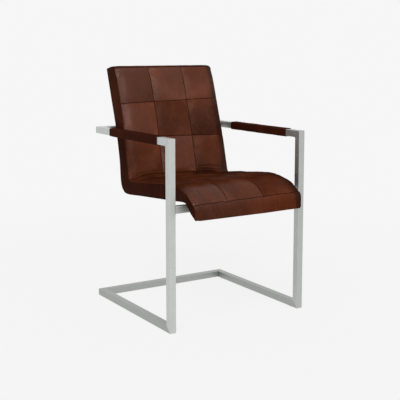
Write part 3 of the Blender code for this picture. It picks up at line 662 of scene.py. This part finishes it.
def frontHeights():
    # height of the leather above the rear line, along the rib, at every point of the fine mesh
    x, s = acrossFull, alongFull
    thickness = acrossShell(alongMarks)[2][:, None]
    thin = np.clip(thickness / shell["edgeThin"], 0, 1)
    outer = 1 - np.minimum(half - np.abs(x), shell["edgeRoll"]) / shell["edgeRoll"]
    seatDrop, backDrop = (np.where(x < 0, *shell[part]) for part in ("seatDrop", "backDrop"))
    drop = seatDrop + (backDrop - seatDrop) * softly((s - crease + 0.05) / 0.15)
    height = thickness - drop * thin * (0.5 * (1 - np.sqrt(1 - outer**2)) + 0.5 * outer**2)
    patched = (s > frontSeam - 0.0001) & (s < topSeam + 0.0001)
    row = nearest(s, rowSeams)
    column = np.where(patched, nearest(x, columnSeams), 1.0)
    rise = fullness()
    height -= quilt["crown"] * thin * (1 - rise)
    inRow, inColumn = (np.exp(-((near / quilt["grooveReach"]) ** 2)) for near in (row, column))
    height -= quilt["groove"] * np.maximum(inRow, inColumn) * thin

    # soft valleys beside the seams, and the deep fold between seat and back
    for k, (seam, valley) in enumerate(zip(rowSeams, quilt["valleys"])):
        slack = 1 + 0.5 * seamNoise(acrossMarks, quilt["slackScale"], 7 + 2.9 * k)[None, :]
        near = np.exp(-np.abs(s - seam) / quilt["shoulderReach"])
        height -= quilt["shoulder"] * valley * slack * near * thin
    height -= quilt["shoulder"] * quilt["columnValley"] * np.exp(-column / quilt["shoulderReach"]) * thin
    height -= quilt["creaseDepth"] * np.exp(-np.abs(s - crease) / quilt["creaseReach"])

    # puckers along the seams, folds, full front corners and a slightly uneven skin
    pucker, reach, scale = quilt["puckerDepth"], quilt["puckerReach"], quilt["puckerScale"]
    for k, seam in enumerate(rowSeams):
        wave = seamNoise(acrossMarks, scale, 3.7 * k)[None, :]
        height += pucker * wave * np.exp(-np.abs(s - seam) / reach) * thin
    for k, seam in enumerate([*columnSeams, -half, half]):
        wave = seamNoise(alongMarks, scale, 40 + 3.7 * k)[:, None]
        height += pucker * wave * np.exp(-np.abs(x - seam) / reach) * patched * rise * thin
    height -= foldDepth(x, s) * thin
    box = np.exp(-(((s - crease - shell["boxAt"]) / shell["boxReach"]) ** 2))
    height += shell["boxLift"] * box * softly((np.abs(x) - half + shell["boxSide"]) / shell["boxSide"])
    fine = quilt["unevenScale"]
    dips = np.array([
        [noise.noise(Vector((a * fine, b * fine, 2.0))) for a in acrossMarks] for b in alongMarks
    ])
    return height + quilt["uneven"] * dips * rise * thin, row, column


def sidePoints(edge, thickness):
    # the right side from the front seam to the rear: out from the middle, and height above the rear line
    small = min(1.0, thickness / shell["sideThin"])
    turn, dent, bulge = (shell[part] * small for part in ("cornerRound", "sideSeam", "sideBulge"))
    rearRound = min(shell["rearRound"], thickness * 0.3)
    points = [(turn * 0.10, edge - turn * 0.12), (turn * 0.16, edge - turn * 0.5)]
    points += [(-dent, edge - turn), (turn * 0.10, edge - turn * 1.55)]
    top, bottom = edge - turn * 2.0, rearRound + dent
    for share in (0.0, 0.06, 0.14, 0.25, 0.38, 0.5, 0.62, 0.75, 0.86, 0.94, 1.0):
        points.append((bulge * (1 - (2 * share - 1) ** 2) ** 0.8, top + (bottom - top) * share))
    points.append((-dent * 0.7, rearRound))
    for angle in (22.5, 45, 67.5):
        a = radians(angle)
        points.append((-rearRound * (1 - cos(a)), rearRound * (1 - sin(a))))
    return points


def rearPoints(s):
    # the rear leather, seen from the right edge to the left, with flat sewn patches above the seat
    x = acrossMarks[np.abs(acrossMarks) < half - shell["rearRound"] * 1.4]
    column = nearest(x, columnSeams) if s > crease else np.ones(len(x))
    row = nearest(s, (backLow, backHigh))
    inColumn, inRow = (np.exp(-((near / quilt["rearGrooveReach"]) ** 2)) for near in (column, row))
    crown = 1 - np.exp(-np.minimum(column, row) / quilt["rearCrownReach"])
    lift = quilt["rearCrown"] * crown - quilt["rearGroove"] * np.maximum(inColumn, inRow)
    return [(a, -b) for a, b in zip(x[::-1], lift[::-1])], np.broadcast_to(row, x.shape)[::-1], column[::-1]


def widthAt(s, level=1.0):
    # the shell narrows a little from the seat to the back, most of all along its front
    share = softly((s - crease - shell["taperFrom"]) / shell["taperReach"])
    front = shell["seatHalf"] + (shell["backHalf"] - shell["seatHalf"]) * share
    rear = shell["halfWidth"] + (shell["rearHalf"] - shell["halfWidth"]) * share
    return (rear + (front - rear) * level) / half


# Every patch is cut from another part of the hide
patchTones = {
    # how light it is, from left to right; the back from the top down, the seat from the rear forwards
    "back": ((0.53, 0.54, 0.53), (0.64, 0.38, 0.24), (0.36, 0.62, 0.41)),
    "seat": ((0.26, 0.24, 0.12), (0.28, 0.26, 0.12), (0.38, 0.40, 0.27)),
    "nose": (0.25, 0.37, 0.32), "band": (0.34, 0.28, 0.22), "top": (0.10, 0.12, 0.08),
    "side": 0.33, "rear": 0.45,
}
patchWax = {
    # how much wax shines on them, in the same order
    "back": ((0.52, 0.62, 0.66), (0.66, 0.26, 0.28), (0.20, 0.85, 0.34)),
    "seat": ((0.04, 0.03, 0.02), (0.10, 0.08, 0.03), (0.86, 0.46, 0.14)),
    "nose": (0.50, 0.50, 0.24), "band": (0.06, 0.05, 0.04), "top": (0.04, 0.04, 0.04),
    "side": 0.10, "rear": 0.4,
}
patchRust = {
    # and how much rust red they hold
    "back": ((0.05, 0.15, 0.30), (0.25, 0.20, 0.15), (0.30, 0.20, 0.30)),
    "seat": ((0.25, 0.25, 0.35), (0.15, 0.20, 0.35), (0.05, 0.10, 0.45)),
    "nose": (0.10, 0.25, 0.85), "band": (0.3, 0.3, 0.3), "top": (0.2, 0.2, 0.3),
    "side": 0.1, "rear": 0.1,
}


def patchOf(x, s):
    # name, row, column and seed of the patch that holds a point of the front; the narrow bands have no rows
    column = int(x > columnSeams[0]) + int(x > columnSeams[1])
    if s < frontSeam:
        return "nose", None, column, 1.0
    if s > topSeam:
        return "top", None, column, 2.0
    if crease <= s < backBottom:
        return "band", None, column, 3.0
    if s < crease:
        row = int(s < rearSeat) + int(s < midSeat)
        return "seat", row, column, 10.0 + row * 3 + column
    row = int(s < backHigh) + int(s < backLow)
    return "back", row, column, 20.0 + row * 3 + column


def frontKind(x, s):
    # tone, wax, rust, seed and leather of a face; along a band they change evenly from patch to patch
    name, row, column, seed = patchOf(x, s)
    tables = [table[name] for table in (patchTones, patchWax, patchRust)]
    if row is None:
        middles = (columnSeams[0] * 2, 0.0, columnSeams[1] * 2)
        return (*(float(np.interp(x, middles, table)) for table in tables), seed, 0)
    return (*(table[row][column] for table in tables), seed, 0)


def plainKind(name, seed, leather):
    return patchTones[name], patchWax[name], patchRust[name], seed, leather


def rearKind(x, s):
    column = int(x > columnSeams[0]) + int(x > columnSeams[1])
    row = int(s > crease) + int(s > backLow) + int(s > backHigh)
    return plainKind("rear", 30.0 + (row * 3 + column if row else 0), 1)


shadeAndWear = {
    # painted shade: how dark and how far in along the right edge, the left edge, and low on the back
    "rightShade": 0.80, "rightReach": 0.038, "leftShade": 0.10, "leftReach": 0.012,
    "lowShade": 0.30, "lowFrom": 0.008, "lowReach": 0.050, "seatShare": 0.45,
    # more shine: how much and how far in along the left edge, the top, the seat's front and the lip
    "edgeShine": 0.75, "highEdgeShine": 0.35, "edgeIn": 0.020, "edgeReach": 0.012,
    "topShine": 1.1, "topReach": 0.030, "satFrom": 0.022, "satReach": 0.085,
    "lipDull": 0.5, "lipShine": 1.4, "lipReach": 0.012,
}


def paintedShadeAt(x, s):
    # painted shade: darker along the right edge, where the cover rolls away from the light, a little along
    # the left edge, and low on the right where the back meets the seat
    edge = shadeAndWear["rightShade"] * softly(1 - (half - x) / shadeAndWear["rightReach"])
    edge += shadeAndWear["leftShade"] * softly(1 - (half + x) / shadeAndWear["leftReach"])
    if s <= crease:
        return edge * shadeAndWear["seatShare"]
    low = softly(1 - (s - crease - shadeAndWear["lowFrom"]) / shadeAndWear["lowReach"])
    return edge + shadeAndWear["lowShade"] * low * softly((x - 0.04) / 0.06)


def polishAt(x, s):
    # hands and sitting polish the left edge, the top and the front of the seat most
    polish = 1.0
    if s > crease:
        shine = shadeAndWear["highEdgeShine"] if s > backHigh else shadeAndWear["edgeShine"]
        polish += shine * np.exp(-(((x + half - shadeAndWear["edgeIn"]) / shadeAndWear["edgeReach"]) ** 2))
    if s < topSeam and x < columnSeams[1]:
        polish *= 1 + shadeAndWear["topShine"] * np.exp(-(topSeam - s) / shadeAndWear["topReach"])
    if frontSeam < s < midSeat:
        polish *= softly((midSeat - shadeAndWear["satFrom"] - s) / shadeAndWear["satReach"])
    if s < frontSeam:
        polish *= shadeAndWear["lipDull"] + shadeAndWear["lipShine"] * np.exp(-(frontSeam - s) / shadeAndWear["lipReach"])
    return polish


def sideRun(s, sign, edge, thickness, front, rear):
    # one side of a ring from front to rear: it leaves the front's wandering line for the straight rear one
    points, marks = [], []
    for out, h in sidePoints(edge, thickness):
        level = min(1.0, max(0.0, h / edge))
        spot, way = (a * level + b * (1 - level) for a, b in zip(front, rear))
        points.append(((half + out) * sign * widthAt(s, level), *(spot + way * h)))
        marks.append((abs(h - edge + shell["cornerRound"]), 1.0, s, h, 0.0, 1.0))
    return points, marks


def rolledEnd(ring, inner):
    # rings that close an end over a small rolled edge, from the shell outwards
    middle = np.mean([point[1:] for point in ring], axis=0)
    outward = middle - np.mean([point[1:] for point in inner], axis=0)
    outward /= np.hypot(*outward)
    caps = []
    for angle in shell["rollAngles"]:
        shrink, push = cos(radians(angle)), shell["endRoll"] * sin(radians(angle))
        narrow = 1 - shell["rollNarrow"] * (1 - shrink)
        drawnIn = [middle + (np.array((y, z)) - middle) * shrink + outward * push for _, y, z in ring]
        caps.append([(x * narrow, *spot) for (x, _, _), spot in zip(ring, drawnIn)])
    return caps


def shellRings():
    # rings round the shell from lip to top, each point with its place, and what the paint needs there
    heights, rowNear, columnNear = frontHeights()
    rear, way, thickness = acrossShell(alongMarks)
    planX, planS = wandered(acrossFull, alongFull)
    rings, marks = [], []
    for k, s in enumerate(alongMarks):
        # the front follows the wandering sewing lines, so each point takes the shell's line where it is
        rearHere, wayHere, thickHere = acrossShell(planS[k])
        lift = heights[k] + thickHere - thickness[k]
        front = [(x * widthAt(s), *(r + w * h)) for x, r, w, h in zip(planX[k], rearHere, wayHere, lift)]
        frontMarks = [
            (row, column, x, s, paintedShadeAt(x, s), polishAt(x, s))
            for row, column, x in zip(rowNear[k], columnNear[k], acrossMarks)
        ]
        (right, rightMarks), (left, leftMarks) = (
            sideRun(s, sign, lift[j], thickness[k], (rearHere[j], wayHere[j]), (rear[k], way[k]))
            for sign, j in ((1, -1), (-1, 0))
        )
        flat, rowRear, columnRear = rearPoints(s)
        behind = [(x * widthAt(s, 0.0), *(rear[k] + way[k] * h)) for x, h in flat]
        behindMarks = [
            (row if s > crease else 1.0, column, x, s, 0.0, 1.0)
            for (x, _), row, column in zip(flat, rowRear, columnRear)
        ]
        rings.append([*front, *right, *behind, *left[::-1]])
        marks.append([*frontMarks, *rightMarks, *behindMarks, *leftMarks[::-1]])
    caps = len(shell["rollAngles"])
    rings = [*rolledEnd(rings[0], rings[1])[::-1], *rings, *rolledEnd(rings[-1], rings[-2])]
    return rings, [*[marks[0]] * caps, *marks, *[marks[-1]] * caps]


def endFaces(start, frontCount, sideCount, rearCount):
    # the slit that the rolled edge leaves is sewn shut, front to rear
    count = frontCount + 2 * sideCount + rearCount
    behind = [count - sideCount - 1 - k for k in range(rearCount)]
    skip = (frontCount - rearCount) // 2
    faces = [(skip + k, skip + k + 1, behind[k + 1], behind[k]) for k in range(rearCount - 1)]
    faces.append(tuple(range(frontCount - 1 - skip, frontCount + sideCount + 1)))
    faces.append((*range(count - sideCount - 1, count), *range(0, skip + 1)))
    return [tuple(start + k for k in face) for face in faces]


def buildShell():
    rings, marks = shellRings()
    frontCount, sideCount, count = len(acrossMarks), len(sidePoints(0.05, 0.05)), len(rings[0])
    rearCount = count - frontCount - 2 * sideCount
    caps = len(shell["rollAngles"])

    def kindOf(k, s):
        # the face after point k of a ring; the first and last few of a side are the hem of the front cover
        if k < frontCount - 1:
            return frontKind((acrossMarks[k] + acrossMarks[k + 1]) / 2, s)
        if k < frontCount + 2 or k >= count - 3:
            return plainKind("side", 4.0, 0)
        if k < frontCount + sideCount or k >= count - sideCount:
            return plainKind("side", 5.0, 1)
        return rearKind(rings[0][k][0], s)

    faces, kinds = [], []
    for number in range(len(rings) - 1):
        s = alongMarks[np.clip([number - caps, number - caps + 1], 0, len(alongMarks) - 1)].mean()
        low, high = number * count, (number + 1) * count
        for k in range(count):
            after = (k + 1) % count
            faces.append((low + k, low + after, high + after, high + k))
            kinds.append(kindOf(k, s))
    bottom = endFaces(0, frontCount, sideCount, rearCount)
    top = endFaces((len(rings) - 1) * count, frontCount, sideCount, rearCount)
    faces += [*(face[::-1] for face in bottom), *top]
    kinds += [plainKind("side", 4.0, 1)] * (len(bottom) + len(top))

    mesh = solidMesh("quiltedShell", [point for ring in rings for point in ring], faces)
    drawOn(mesh, "FACE", ("patchTone", "waxed", "rusty", "patchSeed"), [kind[:4] for kind in kinds])
    names = ("rowNear", "columnNear", "acrossSpot", "alongSpot", "paintedShade", "polish")
    drawOn(mesh, "POINT", names, [mark for ring in marks for mark in ring])
    mesh.materials.append(shellLeather)
    mesh.materials.append(sideLeather)
    mesh.polygons.foreach_set("material_index", [kind[4] for kind in kinds])
    return addObject("quiltedShell", mesh)


quiltedShell = buildShell()
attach(quiltedShell, "root")
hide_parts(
    "seat_leather_cover", "back_leather_cover", "left_side_panel", "right_side_panel",
    "rear_leather_cover", "rear_wadding", "seat_foam", "back_foam",
)
print("shell quilted,", len(quiltedShell.data.polygons), "faces")


# Arm pads: leather wrapped round the rail, sewn shut along the underside

armPad = {
    "corner": 0.0062, "step": 0.0035, "endRoll": 0.0042,
    "lining": 0.0003, "liningCorner": 0.0016, "liningEnd": 0.004,
    "seam": 0.0011, "seamReach": 0.0016, "hem": 0.0006, "hemFrom": 0.010, "hemReach": 0.0012,
    "swell": 0.0006, "swellScale": (55, 22, 55), "wrinkle": 0.00035, "wrinkleScale": (90, 130, 90),
    "tone": 0.40, "waxed": 0.14, "rusty": 0.15,
}


def roundedSquare(reach, corner):
    # points round a square with round corners, from the middle of the underside
    points = []
    middle = reach - corner
    for quarter in range(4):
        spin = Matrix.Rotation(pi / 2 * quarter, 2)
        flat = [(x, -reach) for x in np.linspace(0, middle, 5)[:-1]]
        bend = [(middle + corner * sin(a), -middle - corner * cos(a)) for a in np.linspace(0, pi / 2, 7)]
        rest = [(reach, z) for z in np.linspace(-middle, 0, 5)[1:-1]]
        points += [tuple(spin @ Vector(point)) for point in (*flat, *bend, *rest)]
    return points


def patterned(scale, seed, x, y, z):
    return noise.noise(Vector((x * scale[0], y * scale[1], z * scale[2] + seed)))


def buildPad(name, cadNode, foamNode, seed):
    low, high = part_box(cadNode)
    middleX, middleZ = (low.x + high.x) / 2, (low.z + high.z) / 2
    reach = (high.z - low.z) / 2
    inner = tube / 2 + armPad["lining"]
    roll = armPad["endRoll"]
    ends = np.radians((0, 18, 36, 54, 72, 90))
    stations = [(low.y + roll * (1 - cos(a)), sin(a)) for a in ends]
    stations += [(y, 1.0) for y in np.arange(low.y + roll + armPad["step"], high.y - roll, armPad["step"])]
    stations += [(high.y - roll * (1 - cos(a)), sin(a)) for a in ends[::-1]]
    rings = []
    for y, grow in stations:
        size = inner + (reach - inner) * (0.3 + 0.7 * grow)
        fromEnd = min(y - low.y, high.y - y)
        hem = armPad["hem"] * np.exp(-(((fromEnd - armPad["hemFrom"]) / armPad["hemReach"]) ** 2))
        ring = []
        for x, z in roundedSquare(size, armPad["corner"] * (0.4 + 0.6 * grow)):
            lift = armPad["swell"] * patterned(armPad["swellScale"], seed, x, y, z)
            lift -= armPad["wrinkle"] * max(0.0, patterned(armPad["wrinkleScale"], seed, x, y, z) - 0.15) * 2
            lift -= hem + (armPad["seam"] * np.exp(-((x / armPad["seamReach"]) ** 2)) if z < 0 else 0.0)
            share = 1 + (lift - armPad["swell"]) * grow / size
            ring.append((middleX + x * share, y, middleZ + z * share))
        rings.append(ring)
    # the lining follows the steel inside, so the wrap is open along the tube
    lining = roundedSquare(inner, armPad["liningCorner"])
    for y in (high.y, high.y - armPad["liningEnd"], low.y + armPad["liningEnd"], low.y):
        rings.append([(middleX + x, y, middleZ + z) for x, z in lining])
    count = len(rings[0])
    faces = [
        (a * count + k, a * count + (k + 1) % count, b * count + (k + 1) % count, b * count + k)
        for a in range(len(rings)) for b in ((a + 1) % len(rings),) for k in range(count)
    ]
    points = [point for ring in rings for point in ring]
    mesh = solidMesh(name, points, faces)
    same = ("patchTone", "waxed", "rusty", "patchSeed", "polish", "columnNear")
    values = (armPad["tone"], armPad["waxed"], armPad["rusty"], seed, 1.0, 1.0)
    drawOn(mesh, "POINT", (*same, "rowNear", "acrossSpot", "alongSpot"), [
        (*values, abs(x - middleX) if z < middleZ - inner else 1.0, y, z) for x, y, z in points
    ])
    mesh.materials.append(padLeather)
    piece = addObject(name, mesh)
    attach(piece, "root")
    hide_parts(cadNode, foamNode)


for side, seed in (("left", 8.0), ("right", 3.0)):
    buildPad(side + "ArmPad", side + "_arm_sleeve", side + "_arm_foam", seed)
print("arms wrapped")


# Floor, light and camera

studio = {
    "backdrop": fromSrgb(246, 246, 246)[0],
    "fill": 0.50,
    "lamps": {
        # where the light comes from, strength, spread in degrees
        "keyLight": ((-0.50, -0.45, 0.80), 1.05, 30),
        "bandLight": ((-0.30, -0.86, 0.41), 0.45, 26),
        "frontLight": ((0.16, -0.83, 0.50), 0.42, 30),
    },
    "floorTones": (0.90, 0.9036), "floorWhite": 0.92, "floorFade": (1.2, 2.6), "floorReach": 9.0,
}
for name, (source, strength, spread) in studio["lamps"].items():
    lamp = bpy.data.lights.new(name, "SUN")
    lamp.energy = strength
    lamp.angle = radians(spread)
    addObject(name, lamp).rotation_euler = Vector(source).to_track_quat("Z", "Y").to_euler()

world = bpy.data.worlds.new("studio")
bpy.context.scene.world = world
sky = Paint(world, "Background", Color=(1, 1, 1, 1))
sky.set("Strength", sky.seenWhite() * (studio["backdrop"] - studio["fill"]) + studio["fill"])

floorMesh = bpy.data.meshes.new("floor")
floorRound = bmesh.new()
bmesh.ops.create_circle(floorRound, cap_ends=True, segments=96, radius=studio["floorReach"])
floorRound.to_mesh(floorMesh)
floorRound.free()
floorPiece = addObject("floor", floorMesh)
pale = newPaint("pale floor", Roughness=0.9, Specular_IOR_Level=0.0)
speck = pale.cloud(pale.place(), 3.0, 2.0)
tones = [(tone, tone, tone, 1) for tone in studio["floorTones"]]
pale.set("Base Color", pale.mixColours(speck, *tones))
away = pale.add("VectorMath", {"operation": "LENGTH"}, {0: pale.place()}, "Value")
fadeFrom, fadeTo = studio["floorFade"]
fade = ((away - fadeFrom) / (fadeTo - fadeFrom)).clip()
white = pale.seenWhite() * (fade * (1 - studio["floorWhite"]) + studio["floorWhite"])
glow = pale.add("Emission", None, {"Color": (1, 1, 1, 1), "Strength": studio["backdrop"]})
floorSkin = pale.add("MixShader", None, {0: white, 1: Wire(pale, pale.shader.outputs[0]), 2: glow})
pale.plug(floorSkin, pale.tree.nodes["Material Output"].inputs["Surface"])
floorMesh.materials.append(pale.owner)

cameraSet = {
    "place": (-1.6750, -2.6805, 0.9568), "turn": -32.016, "down": 8.137, "roll": -0.043,
    "sensor": 36, "lensPixels": 852.11, "pictureWidth": 400, "rise": -0.07,
}
camera = addObject("camera", bpy.data.cameras.new("camera"))
bpy.context.scene.camera = camera
camera.data.sensor_width = cameraSet["sensor"]
camera.data.lens = cameraSet["lensPixels"] / cameraSet["pictureWidth"] * cameraSet["sensor"]
camera.data.shift_y = cameraSet["rise"]
camera.data.clip_start, camera.data.clip_end = 0.05, 60
camera.location = cameraSet["place"]
pan = Matrix.Rotation(radians(cameraSet["turn"]), 4, "Z")
tilt = Matrix.Rotation(radians(90 - cameraSet["down"]), 4, "X")
roll = Matrix.Rotation(radians(cameraSet["roll"]), 4, "Z")
camera.rotation_euler = (pan @ tilt @ roll).to_euler()
bpy.context.scene.view_settings.view_transform = "Standard"

bpy.context.view_layer.update()
print("studio set")
